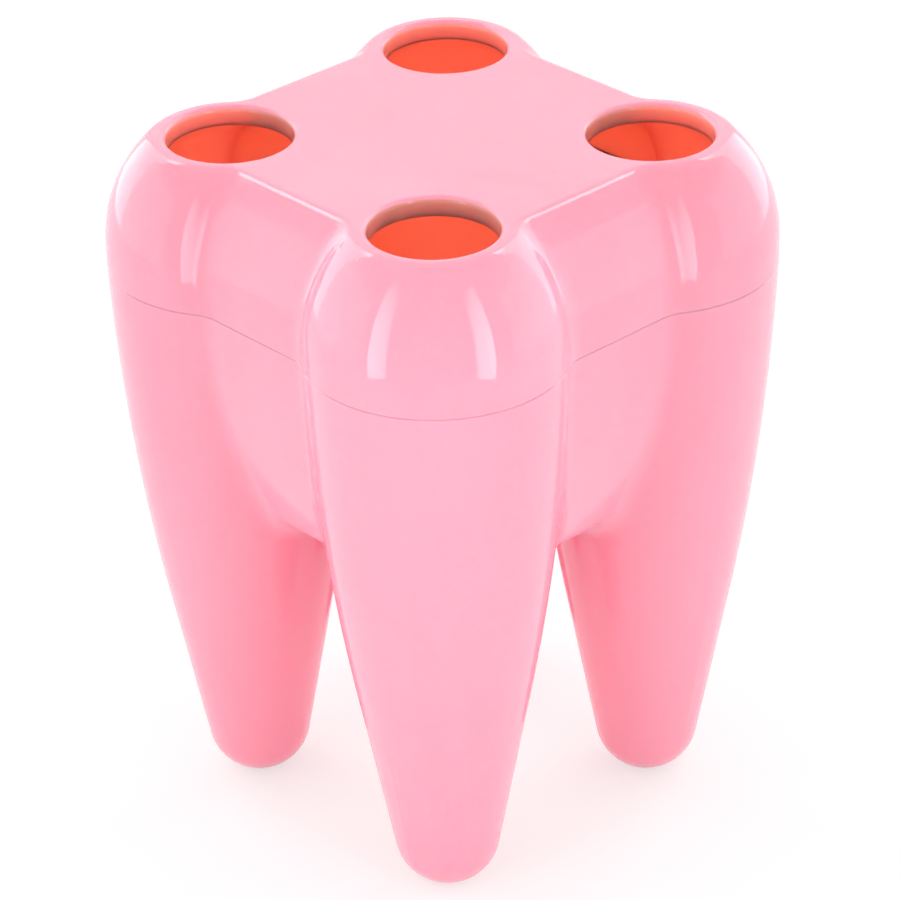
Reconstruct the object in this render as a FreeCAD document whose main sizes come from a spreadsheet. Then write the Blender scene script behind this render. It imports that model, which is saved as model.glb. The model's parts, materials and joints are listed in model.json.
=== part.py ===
import FreeCAD, Part
import math
import os
import Sketcher
from FreeCAD import Vector

# A toothbrush holder shaped like a molar: a root body that stands on four hollow tapered roots,
# and a crown cover with a brush hole in each of its four cusps. The crown's skirt drops over a lip
# that stands up inside the root body's wall, so the crown lifts straight off for cleaning.
# Both mouldings are alike on all four sides, so each is drawn as the quarter with the root at +X +Y,
# and the finished quarter is repeated. Millimetres, +Z up, origin on the ground under the middle.

# Driving dimensions: name, size in millimetres (an angle in degrees), what it measures
SIZES = [
    ("seam_height", 95.9, "ground to the joint between root body and crown"),
    ("crown_height", 21.5, "joint to the flat top of the crown"),
    ("girth_band", 3.8, "upright band of the crown above the joint"),
    ("girth_radius", 20.5, "radius of each lobe at the joint, where it is widest"),
    ("lobe_gap", 5.4, "gap that two neighbouring lobes would leave between them at the joint"),
    ("flank_lean_angle", 2.1, "lean of a root's side just below the joint"),
    ("swell_share", 0.384, "how much steeper a root's taper is than a plain cone from lobe to tip"),
    ("tip_radius", 8.65, "ball at the end of each root"),
    ("foot_depth", 0.6, "height of the ball's cap that is cut off to stand on"),
    ("valley_depth", 3.95, "how far a side panel lies inside the lobes at the joint"),
    ("panel_arc", 92.0, "radius of a side panel's curve below the joint"),
    ("web_height", 56.0, "ground to the underside between the roots"),
    ("web_edge", 6.0, "rounding along the lower edge of a side panel"),
    ("panel_lean", 8.85, "how far a side panel leans in from the joint to the top"),
    ("root_crease", 5.0, "fillet between a root and a side panel"),
    ("crown_crease", 8.0, "fillet between a cusp and a side panel"),
    ("crown_edge", 3.5, "rounding round the flat top"),
    ("hole_diameter", 20.0, "brush hole"),
    ("rim_land", 2.45, "hole's edge to the point where the cusp would meet the top"),
    ("hole_rim", 1.0, "rounding of a brush hole's upper edge"),
    ("wall", 3.2, "moulded wall of both shells"),
    ("skirt", 1.3, "part of the wall that the crown keeps beside the lip"),
    ("lip_height", 5.0, "height of the lip above the joint"),
    ("lip_clearance", 0.2, "side gap between the lip and the skirt"),
    ("lip_headroom", 0.4, "gap above the lip"),
    ("seam_chamfer", 0.15, "chamfer on both edges of the joint, which show as a fine groove"),
    ("overrun", 2.0, "how far a cut runs past the face that it opens"),
]
ROOT_COUNT = 4
FULL_TURN = 360
# Step of the corner test as a share of the wall, and the turn below which two faces run on smoothly
PROBE_SHARE = 0.02
SMOOTH_ANGLE = 3.6
# Most of the room between a root and the middle plane that a fillet may take up
ROOM_SHARE = 0.92
# Least rounding of the chamber's lower corner, as a share of the wall
CORNER_SHARE = 0.25
# A sketch's numbers for the two ends of a line or arc, and for its two axes
START_INDEX = 1
END_INDEX = 2
ACROSS_INDEX = -1
UPRIGHT_INDEX = -2

# Lengths and angles that several outlines share, worked out from the driving dimensions
NOTHING = "0"
TOP_HEIGHT = "(sizes.seam_height + sizes.crown_height)"
GIRTH_TOP = "(sizes.seam_height + sizes.girth_band)"
LIP_TOP = "(sizes.seam_height + sizes.lip_height)"
REBATE_TOP = f"({LIP_TOP} + sizes.lip_headroom)"
CEILING = f"({TOP_HEIGHT} - sizes.wall)"
ROOT_OFFSET = "(sizes.girth_radius + sizes.lobe_gap / 2)"
PANEL_REACH = f"({ROOT_OFFSET} + sizes.girth_radius - sizes.valley_depth)"
PANEL_TOP_REACH = f"({PANEL_REACH} - sizes.panel_lean)"
CUSP_TOP_RADIUS = "(sizes.hole_diameter / 2 + sizes.rim_land)"
# A root's side runs from the lobe along one large arc into a straight taper that touches the tip ball
TIP_HEIGHT = "(sizes.tip_radius - sizes.foot_depth)"
TIP_DROP = f"(sizes.seam_height - {TIP_HEIGHT})"
LEAN = "(sizes.flank_lean_angle * 1 deg)"
PLAIN_TAPER = (
    f"(acos(sizes.tip_radius / sqrt({TIP_DROP}^2 + sizes.girth_radius^2))"
    f" - atan2({TIP_DROP}; sizes.girth_radius))"
)
TAPER = f"((1 + sizes.swell_share) * {PLAIN_TAPER})"
FLANK_ARC = (
    f"((sizes.tip_radius - sizes.girth_radius * cos({TAPER}) + {TIP_DROP} * sin({TAPER}))"
    f" / (1 - cos({TAPER} - {LEAN})))"
)
# The fillet under the web stays clear of the middle planes, where the next root's fillet begins
WEB_ROOM = (
    f"({ROOT_OFFSET} - (sizes.tip_radius + (sizes.web_height - {TIP_HEIGHT}) * sin({TAPER}))"
    f" / cos({TAPER}))"
)
ROOT_CREASE = f"min(sizes.root_crease; {ROOM_SHARE} * {WEB_ROOM})"
# Inside the web's rounded edge the wall keeps its thickness
CHAMBER_EDGE = f"max(sizes.web_edge - sizes.wall; {CORNER_SHARE} * sizes.wall)"

doc = FreeCAD.newDocument("toothbrush_holder")
sheet = doc.addObject("Spreadsheet::Sheet", "sizes")
for row, (alias, size, meaning) in enumerate(SIZES, start=1):
    sheet.set(f"A{row}", alias)
    sheet.set(f"B{row}", str(size))
    sheet.set(f"C{row}", meaning)
    sheet.setAlias(f"B{row}", alias)
doc.recompute()


def value(expression):
    """Number that an expression on the sheet gives."""
    return float(sheet.evalExpression(expression))


def origin_feature(body, role):
    """Origin plane or axis of a body."""
    return next(feature for feature in body.Origin.OriginFeatures if feature.Role == role)


def arc_between(start, end, radius):
    """Arc that turns left from start to end, less than a half circle."""
    chord = end - start
    middle = (start + end) / 2
    reach = math.sqrt(radius ** 2 - (chord.Length / 2) ** 2)
    centre = middle + Vector(-chord.y, chord.x, 0).normalize() * reach
    bulge = centre + (middle - centre).normalize() * radius
    return Part.Arc(start, bulge, end)


def pin(sketch, piece, direction, axis, expression):
    """Holds the start of a piece at a distance from the sketch's origin."""
    if expression == NOTHING:
        sketch.addConstraint(Sketcher.Constraint("PointOnObject", piece, START_INDEX, axis))
        return
    rule = Sketcher.Constraint(
        direction, ACROSS_INDEX, START_INDEX, piece, START_INDEX, value(expression)
    )
    number = sketch.addConstraint(rule)
    sketch.setExpression(f"Constraints[{number}]", expression)


def upright_sketch(body, name, plane, corners):
    """Closed outline in an upright plane. A corner is (across, height), and a third entry is the
    radius of the arc that leaves it; the other pieces are straight."""
    sketch = body.newObject("Sketcher::SketchObject", name)
    sketch.AttachmentSupport = [(origin_feature(body, plane), "")]
    sketch.MapMode = "FlatFace"
    places = [Vector(value(across), value(height), 0) for across, height, *arc in corners]
    for piece, (across, height, *arc) in enumerate(corners):
        start = places[piece]
        end = places[(piece + 1) % len(places)]
        if arc:
            sketch.addGeometry(arc_between(start, end, value(*arc)))
        else:
            sketch.addGeometry(Part.LineSegment(start, end))
    for piece, (across, height, *arc) in enumerate(corners):
        before = (piece - 1) % len(corners)
        sketch.addConstraint(Sketcher.Constraint("Coincident", before, END_INDEX, piece, START_INDEX))
        pin(sketch, piece, "DistanceX", UPRIGHT_INDEX, across)
        pin(sketch, piece, "DistanceY", ACROSS_INDEX, height)
        if arc:
            number = sketch.addConstraint(Sketcher.Constraint("Radius", piece, value(*arc)))
            sketch.setExpression(f"Constraints[{number}]", *arc)
    return sketch


def turned(body, kind, name, corners):
    """Revolution or Groove about the root's axis."""
    sketch = upright_sketch(body, name + "_outline", "XZ_Plane", corners)
    sketch.setExpression("AttachmentOffset.Base.x", ROOT_OFFSET)
    sketch.setExpression("AttachmentOffset.Base.z", "-" + ROOT_OFFSET)
    feature = body.newObject("PartDesign::" + kind, name)
    feature.Profile = sketch
    feature.ReferenceAxis = (sketch, ["V_Axis"])
    feature.Angle = FULL_TURN
    body.Tip = feature
    doc.recompute()
    return feature


def side_by_side(body, kind, name, corners):
    """Pad or Pocket of one outline that reaches out to +X and again out to +Y, each from the middle
    plane to the root's axis, or to the other's narrowest place where that is nearer."""
    reaches = [across for across, height, *arc in corners if across != NOTHING]
    length = f"min({'; '.join([ROOT_OFFSET, *reaches])})"
    for plane, against_normal in (("XZ_Plane", True), ("YZ_Plane", False)):
        side = f"{name}_{plane[0].lower()}"
        sketch = upright_sketch(body, side + "_outline", plane, corners)
        feature = body.newObject("PartDesign::" + kind, side)
        feature.Profile = sketch
        feature.setExpression("Length", length)
        feature.Reversed = against_normal == (kind == "Pad")
        body.Tip = feature
        doc.recompute()
    return feature


def all_round(body, name):
    """Repeats the finished quarter round the middle."""
    pattern = body.newObject("PartDesign::PolarPattern", name)
    pattern.TransformMode = "Whole shape"
    pattern.Axis = (origin_feature(body, "Z_Axis"), [""])
    pattern.Angle = FULL_TURN
    pattern.Occurrences = ROOT_COUNT
    body.Tip = pattern
    doc.recompute()


def face_normal(face, point):
    """Outward normal of a face at a point on it."""
    along, up = face.Surface.parameter(point)
    return face.normalAt(along, up)


def hollow_edges(shape):
    """Names of the edges where two faces meet in a hollow corner."""
    names = []
    step = value("sizes.wall") * PROBE_SHARE
    for number, edge in enumerate(shape.Edges, start=1):
        faces = shape.ancestorsOfType(edge, Part.Face)
        if len(faces) == 1:
            continue
        middle = edge.valueAt((edge.FirstParameter + edge.LastParameter) / 2)
        first, second = [face_normal(face, middle) for face in faces]
        if math.degrees(first.getAngle(second)) < SMOOTH_ANGLE:
            continue
        if shape.isInside(middle + (first - second) * step, step * PROBE_SHARE, False):
            names.append(f"Edge{number}")
    return names


def level_edges(shape, level):
    """Names of the edges that lie flat at one level, without those in the quarter's two middle planes."""
    step = value("sizes.wall") * PROBE_SHARE
    height = value(level)
    names = []
    for number, edge in enumerate(shape.Edges, start=1):
        middle = edge.CenterOfMass
        ends_level = all(abs(edge.valueAt(place).z - height) < step for place in edge.ParameterRange)
        if ends_level and min(middle.x, middle.y) > step:
            names.append(f"Edge{number}")
    return names


def hole_edges(shape):
    """Names of the edges round the upper end of the brush hole."""
    step = value("sizes.wall") * PROBE_SHARE
    radius = value("sizes.hole_diameter / 2")
    return [
        name for name in level_edges(shape, TOP_HEIGHT)
        if isinstance(shape.getElement(name).Curve, Part.Circle)
        and abs(shape.getElement(name).Curve.Radius - radius) < step
    ]


def eased(body, kind, name, edges, size):
    """Fillet or Chamfer on edges of the body's last feature."""
    feature = body.newObject("PartDesign::" + kind, name)
    feature.Base = (feature.BaseFeature, edges)
    feature.setExpression("Radius" if kind == "Fillet" else "Size", size)
    body.Tip = feature
    doc.recompute()
    return feature


def new_body(name):
    """Empty sub-part that stands in the holder's own frame."""
    body = doc.addObject("PartDesign::Body", name)
    body.Label = name
    body.Placement = FreeCAD.Placement()
    return body


def root_side(inset):
    """Corners up a root's side, set in from the outside: end of the tip ball, start and end of the flank."""
    tip = f"(sizes.tip_radius - {inset})"
    flank = f"({FLANK_ARC} - {inset})"
    centre_across = f"(sizes.girth_radius - {FLANK_ARC} * cos({LEAN}))"
    centre_rise = f"({FLANK_ARC} * sin({LEAN}))"
    return [
        (f"{tip} * cos({TAPER})", f"{TIP_HEIGHT} - {tip} * sin({TAPER})"),
        (
            f"{centre_across} + {flank} * cos({TAPER})",
            f"sizes.seam_height + {centre_rise} - {flank} * sin({TAPER})",
            flank,
        ),
        (f"{centre_across} + sqrt({flank}^2 - {centre_rise}^2)", "sizes.seam_height"),
    ]


def web_side(inset, edge):
    """Corners of a side panel, set in from the outside: middle and rounded edge of its underside, its
    own curve, and its end at the joint."""
    underside = f"(sizes.web_height + {inset})"
    panel = f"(sizes.panel_arc - {inset})"
    drop = f"(sizes.seam_height - {underside} - {edge})"
    reach = f"({panel} - {edge})"
    rounding = f"({PANEL_REACH} - sizes.panel_arc + sqrt({reach}^2 - {drop}^2))"
    share = f"{edge} / {reach}"
    return [
        (NOTHING, underside),
        (rounding, underside, edge),
        (
            f"{rounding} + ({rounding} - {PANEL_REACH} + sizes.panel_arc) * {share}",
            f"{underside} + {edge} - {drop} * {share}",
            panel,
        ),
        (f"{PANEL_REACH} - {inset}", "sizes.seam_height"),
    ]


def lip_outline(reach):
    """Lip above the joint, set in from the outside by the skirt and the clearance."""
    lip = f"({reach} - sizes.skirt - sizes.lip_clearance)"
    return [
        (NOTHING, "sizes.seam_height"),
        (lip, "sizes.seam_height"),
        (lip, LIP_TOP),
        (NOTHING, LIP_TOP),
    ]


def dome_arc(reach, top):
    """Radius of the curve that leaves the girth band upright and meets the top."""
    rise = f"({TOP_HEIGHT} - {GIRTH_TOP})"
    lean = f"({reach} - {top})"
    return f"(({rise}^2 + {lean}^2) / (2 * {lean}))"


def dome_outline(reach, top):
    """Outside of the crown from its middle or its cusp's axis out to one side."""
    return [
        (NOTHING, "sizes.seam_height"),
        (reach, "sizes.seam_height"),
        (reach, GIRTH_TOP, dome_arc(reach, top)),
        (top, TOP_HEIGHT),
        (NOTHING, TOP_HEIGHT),
    ]


def dome_hollow(reach, top):
    """Inside of the crown: a rebate that leaves the skirt, then the dome's curve one wall further in."""
    arc = f"({dome_arc(reach, top)} - sizes.wall)"
    start = "(sizes.seam_height - sizes.overrun)"
    low, high = [
        f"({reach} - sizes.wall - {arc} + sqrt({arc}^2 - ({height} - {GIRTH_TOP})^2))"
        for height in (REBATE_TOP, CEILING)
    ]
    return [
        (NOTHING, start),
        (f"{reach} - sizes.skirt", start),
        (f"{reach} - sizes.skirt", REBATE_TOP),
        (low, REBATE_TOP, arc),
        (high, CEILING),
        (NOTHING, CEILING),
    ]


# Root body: a solid column and its two side webs, then the lip, then the hollow through the open top
root_body = new_body("root_body")
foot_radius = f"sqrt(sizes.tip_radius^2 - {TIP_HEIGHT}^2)"
turned(root_body, "Revolution", "root_column", [
    (NOTHING, NOTHING),
    (foot_radius, NOTHING, "sizes.tip_radius"),
    *root_side(NOTHING),
    (NOTHING, "sizes.seam_height"),
])
root_block = side_by_side(root_body, "Pad", "side_web", [
    *web_side(NOTHING, "sizes.web_edge"),
    (NOTHING, "sizes.seam_height"),
])
creases = eased(root_body, "Fillet", "root_creases", hollow_edges(root_block.Shape), ROOT_CREASE)
seam_rim = level_edges(creases.Shape, "sizes.seam_height")
eased(root_body, "Chamfer", "root_seam", seam_rim, "sizes.seam_chamfer")
turned(root_body, "Revolution", "lip_round", lip_outline("sizes.girth_radius"))
side_by_side(root_body, "Pad", "lip_straight", lip_outline(PANEL_REACH))

bore_top = f"({LIP_TOP} + sizes.overrun)"
bore_side = root_side("sizes.wall")
bore_radius = bore_side[-1][0]
turned(root_body, "Groove", "root_bore", [
    (NOTHING, "sizes.wall - sizes.foot_depth", "sizes.tip_radius - sizes.wall"),
    *bore_side,
    (bore_radius, bore_top),
    (NOTHING, bore_top),
])
side_by_side(root_body, "Pocket", "web_bore", [
    *web_side("sizes.wall", CHAMBER_EDGE),
    (f"{PANEL_REACH} - sizes.wall", bore_top),
    (NOTHING, bore_top),
])
all_round(root_body, "root_quarters")

# Crown cover: a solid cusp and its two side panels, rounded, hollowed from below and pierced
crown_cover = new_body("crown_cover")
turned(crown_cover, "Revolution", "cusp", dome_outline("sizes.girth_radius", CUSP_TOP_RADIUS))
crown_block = side_by_side(crown_cover, "Pad", "side_panel", dome_outline(PANEL_REACH, PANEL_TOP_REACH))
crown_valleys = hollow_edges(crown_block.Shape)
creases = eased(crown_cover, "Fillet", "crown_creases", crown_valleys, "sizes.crown_crease")
top_rim = level_edges(creases.Shape, TOP_HEIGHT)
rounded = eased(crown_cover, "Fillet", "crown_rounding", top_rim, "sizes.crown_edge")
seam_rim = level_edges(rounded.Shape, "sizes.seam_height")
eased(crown_cover, "Chamfer", "crown_seam", seam_rim, "sizes.seam_chamfer")

turned(crown_cover, "Groove", "cusp_hollow", dome_hollow("sizes.girth_radius", CUSP_TOP_RADIUS))
side_by_side(crown_cover, "Pocket", "panel_hollow", dome_hollow(PANEL_REACH, PANEL_TOP_REACH))

hole_top = f"({TOP_HEIGHT} + sizes.overrun)"
hole_bottom = f"({CEILING} - sizes.overrun)"
pierced = turned(crown_cover, "Groove", "brush_hole", [
    (NOTHING, hole_bottom),
    ("sizes.hole_diameter / 2", hole_bottom),
    ("sizes.hole_diameter / 2", hole_top),
    (NOTHING, hole_top),
])
eased(crown_cover, "Fillet", "hole_rim_round", hole_edges(pierced.Shape), "sizes.hole_rim")
all_round(crown_cover, "crown_quarters")

# Every feature has to be sound before anything is written
doc.recompute()
for item in doc.Objects:
    if "Invalid" in item.State or "Error" in item.State:
        raise RuntimeError(f"{item.Name} failed: {item.State}")
os.makedirs("parts", exist_ok=True)
for body in (root_body, crown_cover):
    if body.Shape.isNull() or not body.Shape.isValid() or len(body.Shape.Solids) != 1:
        raise RuntimeError(f"{body.Label} is not one sound solid")
for body in (root_body, crown_cover):
    body.Shape.exportStep(os.path.join("parts", body.Label + ".step"))
    box = body.Shape.BoundBox
    print(body.Label, [round(side, 2) for side in (box.XLength, box.YLength, box.ZMin, box.ZMax)],
          round(body.Shape.Volume), "mm3")
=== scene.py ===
import bmesh
import bpy
import json
import math
from mathutils import Matrix, Vector

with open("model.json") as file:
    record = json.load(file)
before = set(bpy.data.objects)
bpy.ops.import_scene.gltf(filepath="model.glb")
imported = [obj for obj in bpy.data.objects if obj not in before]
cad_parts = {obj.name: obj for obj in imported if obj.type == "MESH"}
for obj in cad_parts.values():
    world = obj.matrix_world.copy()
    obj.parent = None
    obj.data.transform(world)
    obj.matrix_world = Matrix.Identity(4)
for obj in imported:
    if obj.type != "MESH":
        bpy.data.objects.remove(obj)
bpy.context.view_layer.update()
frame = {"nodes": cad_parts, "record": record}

# Root body: the lower moulding, four hollow tapered roots joined by side panels and a floor.
# Glossy pink plastic, injection moulded in one shot, so the pigment drifts a little with the flow
# and the skin keeps a faint orange peel and the smears of handling.
root_body = frame["nodes"]["root_body"]
brush_hole = next(mount for mount in frame["record"]["mounts"] if mount["kind"] == "bore")
root_offset = abs(brush_hole["pos_m"][0])
chamber_middle = 0.086
faces_out = 0.15
faces_in = -0.35
pigment_pale = (0.995, 0.36, 0.462, 1)
pigment_deep = (0.995, 0.328, 0.426, 1)
# Painted glow: the orange-red that the inside faces take in place of the light that comes through the pink
# walls into the hollows.
painted_through_glow = (0.999, 0.24, 0.21, 1)
millimetre = 0.001
light_depth_outside = (1.6, 0.9, 0.7)
light_depth_inside = (32.0, 11.5, 9.5)
flow_stretch_share = 0.3
polished_roughness = 0.03
smeared_roughness = 0.07
peel_depth = 0.0002
root_gate = (0.02, -0.01, 0.0)


def new_material(name):
    """Node material with its shader and its object coordinates."""
    material = bpy.data.materials.new(name)
    material.use_nodes = True
    nodes = material.node_tree.nodes
    shader = nodes["Principled BSDF"]
    coordinates = nodes.new("ShaderNodeTexCoord")
    return material.node_tree, shader, coordinates.outputs["Object"]


def add_node(tree, kind, settings=None, **inputs):
    """Node with its settings, its named inputs set to a value or linked to another node's output."""
    node = tree.nodes.new("ShaderNode" + kind)
    for key, setting in (settings or {}).items():
        setattr(node, key, setting)
    for key, given in inputs.items():
        fill(tree, node.inputs[key.replace("_", " ")], given)
    return node


def fill(tree, socket, given):
    """Link a socket to another node's output, or set it to a value."""
    if isinstance(given, bpy.types.NodeSocket):
        tree.links.new(given, socket)
    else:
        socket.default_value = given


def maths(tree, kind, operation, *terms):
    """Output of a maths node, of numbers or of vectors, on its terms in order."""
    node = add_node(tree, kind, {"operation": operation})
    for socket, term in zip(node.inputs, terms):
        fill(tree, socket, term)
    return next(output for output in node.outputs if output.enabled)


def painted_glow_share(tree, place):
    """Share of the inside: 0 on the outer skin, 1 in the chamber, the roots and the holes. It is where the
    orange-red painted glow of light through the walls goes, and where light sinks deeper. The skin's normal
    is held against the way out from the nearest root's axis and from the middle of the chamber."""
    quarter = maths(tree, "VectorMath", "SIGN", place)
    axis = maths(tree, "VectorMath", "MULTIPLY", quarter, (root_offset, root_offset, 0))
    from_axis = maths(tree, "VectorMath", "SUBTRACT", place, axis)
    level = maths(tree, "VectorMath", "MULTIPLY", from_axis, (1, 1, 0))
    sideways = maths(tree, "VectorMath", "NORMALIZE", level)
    from_middle = maths(tree, "VectorMath", "SUBTRACT", place, (0, 0, chamber_middle))
    upright = maths(tree, "VectorMath", "MULTIPLY", from_middle, (0, 0, 1 / root_offset))
    outward = maths(tree, "VectorMath", "ADD", sideways, upright)
    normal = add_node(tree, "NewGeometry").outputs["Normal"]
    facing = maths(tree, "VectorMath", "DOT_PRODUCT", normal, outward)
    inside = add_node(tree, "MapRange", {"interpolation_type": "SMOOTHSTEP"},
                      Value=facing, From_Min=faces_out, From_Max=faces_in)
    return inside.outputs["Result"]


def moulded_pink(name, gate):
    """Glossy pink plastic that light sinks into, deeper on the inside faces. Those faces are painted
    orange-red, a painted glow standing in for light that comes through the walls.
    The pigment and the smears are drawn out along the flow from the gate."""
    tree, shader, place = new_material(name)
    inside = painted_glow_share(tree, place)
    flow = add_node(tree, "Mapping", Vector=place, Location=gate, Scale=(1, 1, flow_stretch_share))
    along_flow = flow.outputs["Vector"]

    clouds = add_node(tree, "TexNoise", Vector=along_flow,
                      Scale=34.0, Detail=3.0, Roughness=0.5, Distortion=0.6)
    pigment = add_node(tree, "ValToRGB", Fac=clouds.outputs["Fac"])
    deep_stop, pale_stop = pigment.color_ramp.elements
    deep_stop.position = 0.3
    deep_stop.color = pigment_deep
    pale_stop.position = 0.7
    pale_stop.color = pigment_pale
    # Painted glow: the inside faces mix over to the orange-red of light that has come through the walls.
    colour = add_node(tree, "Mix", {"data_type": "RGBA"}, Factor=inside)
    fill(tree, colour.inputs["A"], pigment.outputs["Color"])
    fill(tree, colour.inputs["B"], painted_through_glow)
    fill(tree, shader.inputs["Base Color"], colour.outputs["Result"])

    depth = add_node(tree, "Mix", {"data_type": "VECTOR"}, Factor=inside)
    fill(tree, depth.inputs["A"], light_depth_outside)
    fill(tree, depth.inputs["B"], light_depth_inside)
    fill(tree, shader.inputs["Subsurface Radius"], depth.outputs["Result"])
    fill(tree, shader.inputs["Subsurface Scale"], millimetre)
    fill(tree, shader.inputs["Subsurface Weight"], 1.0)
    fill(tree, shader.inputs["IOR"], 1.5)

    smears = add_node(tree, "TexNoise", Vector=along_flow,
                      Scale=120.0, Detail=4.0, Roughness=0.6, Distortion=0.0)
    gloss = add_node(tree, "MapRange", Value=smears.outputs["Fac"], From_Min=0.3, From_Max=0.75,
                     To_Min=polished_roughness, To_Max=smeared_roughness)
    fill(tree, shader.inputs["Roughness"], gloss.outputs["Result"])

    peel = add_node(tree, "TexNoise", Vector=place, Scale=420.0, Detail=2.0, Roughness=0.5)
    skin = add_node(tree, "Bump", Height=peel.outputs["Fac"], Strength=0.05, Distance=peel_depth)
    fill(tree, shader.inputs["Normal"], skin.outputs["Normal"])
    return bpy.data.materials[name]


root_body.data.materials.clear()
root_body.data.materials.append(moulded_pink("pink_roots", root_gate))

# Crown cover: the upper moulding, with a brush hole in each cusp and a skirt over the root body's lip.
# The same pink plastic from another mould, pushed on by hand, with a fine line where the two meet.
crown_cover = frame["nodes"]["crown_cover"]
crown_gate = (-0.03, 0.02, 0.01)
crown_cover.data.materials.clear()
# The inside faces under the crown and in its holes carry the same painted glow of light through the walls.
crown_cover.data.materials.append(moulded_pink("pink_crown", crown_gate))

# Floor: a plain sheet of white paper that the holder stands on, wide enough to fill every view.
# It is laid just under the feet, and glows to the eye and in reflections without lighting the holder.
floor_reach = 3.0
floor_drop = 0.0001
paper_white = (0.93, 0.93, 0.93, 1)
paper_tooth = 0.0001
paper_glow_share = 0.6
white = (1, 1, 1, 1)
floor_mesh = bpy.data.meshes.new("floor")
sheet = bmesh.new()
bmesh.ops.create_grid(sheet, x_segments=1, y_segments=1, size=floor_reach)
bmesh.ops.translate(sheet, verts=sheet.verts, vec=(0, 0, -floor_drop))
sheet.to_mesh(floor_mesh)
sheet.free()
floor = bpy.data.objects.new("floor", floor_mesh)
bpy.context.scene.collection.objects.link(floor)


def looked_at(tree):
    """1 for rays from the camera, off a gloss or through a clear piece, and 0 for rays that only light."""
    rays = add_node(tree, "LightPath").outputs
    seen_or_mirrored = maths(tree, "Math", "MAXIMUM", rays["Is Camera Ray"], rays["Is Glossy Ray"])
    return maths(tree, "Math", "MAXIMUM", seen_or_mirrored, rays["Is Transmission Ray"])


paper, paper_shader, paper_place = new_material("white_sheet")
fill(paper, paper_shader.inputs["Base Color"], paper_white)
fill(paper, paper_shader.inputs["Roughness"], 0.9)
fill(paper, paper_shader.inputs["Specular IOR Level"], 0.0)
grain = add_node(paper, "TexNoise", Vector=paper_place, Scale=900.0, Detail=2.0)
tooth = add_node(paper, "Bump", Height=grain.outputs["Fac"], Strength=0.2, Distance=paper_tooth)
fill(paper, paper_shader.inputs["Normal"], tooth.outputs["Normal"])
paper_glow = add_node(paper, "Emission", Color=white, Strength=1.0)
glow_share = maths(paper, "Math", "MULTIPLY", looked_at(paper), paper_glow_share)
lit_paper = add_node(paper, "MixShader", Fac=glow_share)
fill(paper, lit_paper.inputs[1], paper_shader.outputs["BSDF"])
fill(paper, lit_paper.inputs[2], paper_glow.outputs["Emission"])
fill(paper, paper.nodes["Material Output"].inputs["Surface"], lit_paper.outputs["Shader"])
floor_mesh.materials.append(bpy.data.materials["white_sheet"])

# Camera: a long lens a little above the holder, turned to the front root.
# It stands well back, so that the roots stay nearly parallel.
view_distance = 0.639361
view_azimuth = math.radians(47.083)
view_elevation = math.radians(29.869)
view_roll = math.radians(-1.236)
aim_aside = 0.000525
aim_height = 0.060287
sensor_width = 36.0
focal_length = 156.845
nearest_seen = 0.01
backward = Vector((
    math.sin(view_azimuth) * math.cos(view_elevation),
    -math.cos(view_azimuth) * math.cos(view_elevation),
    math.sin(view_elevation),
))
aside = Vector((math.cos(view_azimuth), math.sin(view_azimuth), 0))
upward = backward.cross(aside)
camera_right = aside * math.cos(view_roll) + upward * math.sin(view_roll)
camera_up = upward * math.cos(view_roll) - aside * math.sin(view_roll)
lens = bpy.data.cameras.new("camera")
lens.sensor_width = sensor_width
lens.lens = focal_length
lens.clip_start = nearest_seen
camera = bpy.data.objects.new("camera", lens)
camera_turn = Matrix((camera_right, camera_up, backward)).transposed()
camera_spot = aside * aim_aside + Vector((0, 0, aim_height)) + backward * view_distance
camera.matrix_world = Matrix.Translation(camera_spot) @ camera_turn.to_4x4()
bpy.context.scene.collection.objects.link(camera)
bpy.context.scene.camera = camera

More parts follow.
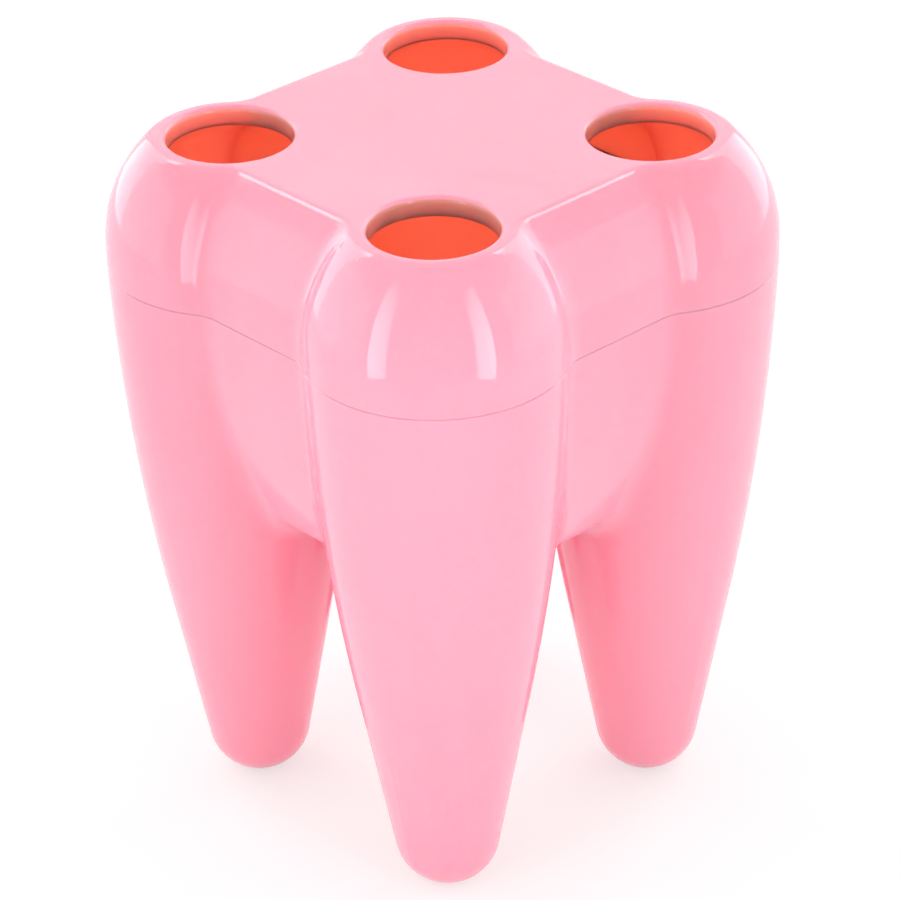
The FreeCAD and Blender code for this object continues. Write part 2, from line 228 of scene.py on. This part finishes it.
# Studio light: a white tent round the holder, with softboxes inside it in pairs to the left and right.
# Two gridded strips stand in front, two wide boxes at the sides and two behind. Two small ones hang high
# behind for the top edges, and a last wide one is straight behind.
tent_level = 0.85
world = bpy.data.worlds.new("tent")
world.use_nodes = True
tent = world.node_tree
tent_light = tent.nodes["Background"]
fill(tent, tent_light.inputs["Color"], white)
fill(tent, tent_light.inputs["Strength"], tent_level)
tent_view = add_node(tent, "Background", Color=white, Strength=1.0)
tent_cloth = add_node(tent, "MixShader", Fac=looked_at(tent))
fill(tent, tent_cloth.inputs[1], tent_light.outputs["Background"])
fill(tent, tent_cloth.inputs[2], tent_view.outputs["Background"])
fill(tent, tent.nodes["World Output"].inputs["Surface"], tent_cloth.outputs["Shader"])
bpy.context.scene.world = world
open_spread = 180
widest_grid = 179
strip_spread = 120
strip_turn = 45


def softbox(name, azimuth, distance, bottom, width, height, level, turn=0, spread=open_spread):
    """Area lamp on an azimuth counted in degrees from the camera's to its right, where a level of 1 is white.
    It faces the holder, or is turned aside; a grid narrows its spread."""
    half_spread = math.radians(min(spread, widest_grid)) / 2
    light = bpy.data.lights.new(name, "AREA")
    light.shape = "RECTANGLE"
    light.size = width
    light.size_y = height
    light.spread = math.radians(spread)
    light.energy = level * math.pi * width * height * (1 - half_spread / math.tan(half_spread))
    swung = view_azimuth + math.radians(azimuth)
    spot = Vector((math.sin(swung) * distance, -math.cos(swung) * distance, bottom + height / 2))
    facing = Matrix.Rotation(math.radians(turn), 4, "Z") @ Vector((-spot.x, -spot.y, 0))
    lamp = bpy.data.objects.new(name, light)
    lamp.matrix_world = Matrix.Translation(spot) @ facing.to_track_quat("-Z", "Y").to_matrix().to_4x4()
    lamp.visible_camera = False
    bpy.context.scene.collection.objects.link(lamp)


def softbox_pair(name, azimuth, **rest):
    """The same softbox on the left and on the right of the holder."""
    softbox(name + "_left", -azimuth, **rest)
    softbox(name + "_right", azimuth, **rest)


strip = {"distance": 0.27, "bottom": 0.025, "width": 0.085, "height": 0.32, "spread": strip_spread}
softbox("front_left", azimuth=-42, level=8.0, turn=-strip_turn, **strip)
softbox("front_right", azimuth=34, level=9.0, turn=strip_turn, **strip)
softbox_pair("side", azimuth=90, distance=0.5, bottom=0.0, width=0.5, height=0.4, level=0.8)
softbox_pair("edge", azimuth=138, distance=0.45, bottom=0.55, width=0.17, height=0.14, level=5.0)
softbox_pair("back", azimuth=133, distance=0.55, bottom=0.0, width=0.34, height=0.65, level=1.9)
softbox("back_high", azimuth=180, distance=0.8, bottom=0.35, width=0.8, height=0.6, level=0.5)

bpy.context.scene.view_settings.view_transform = "Standard"
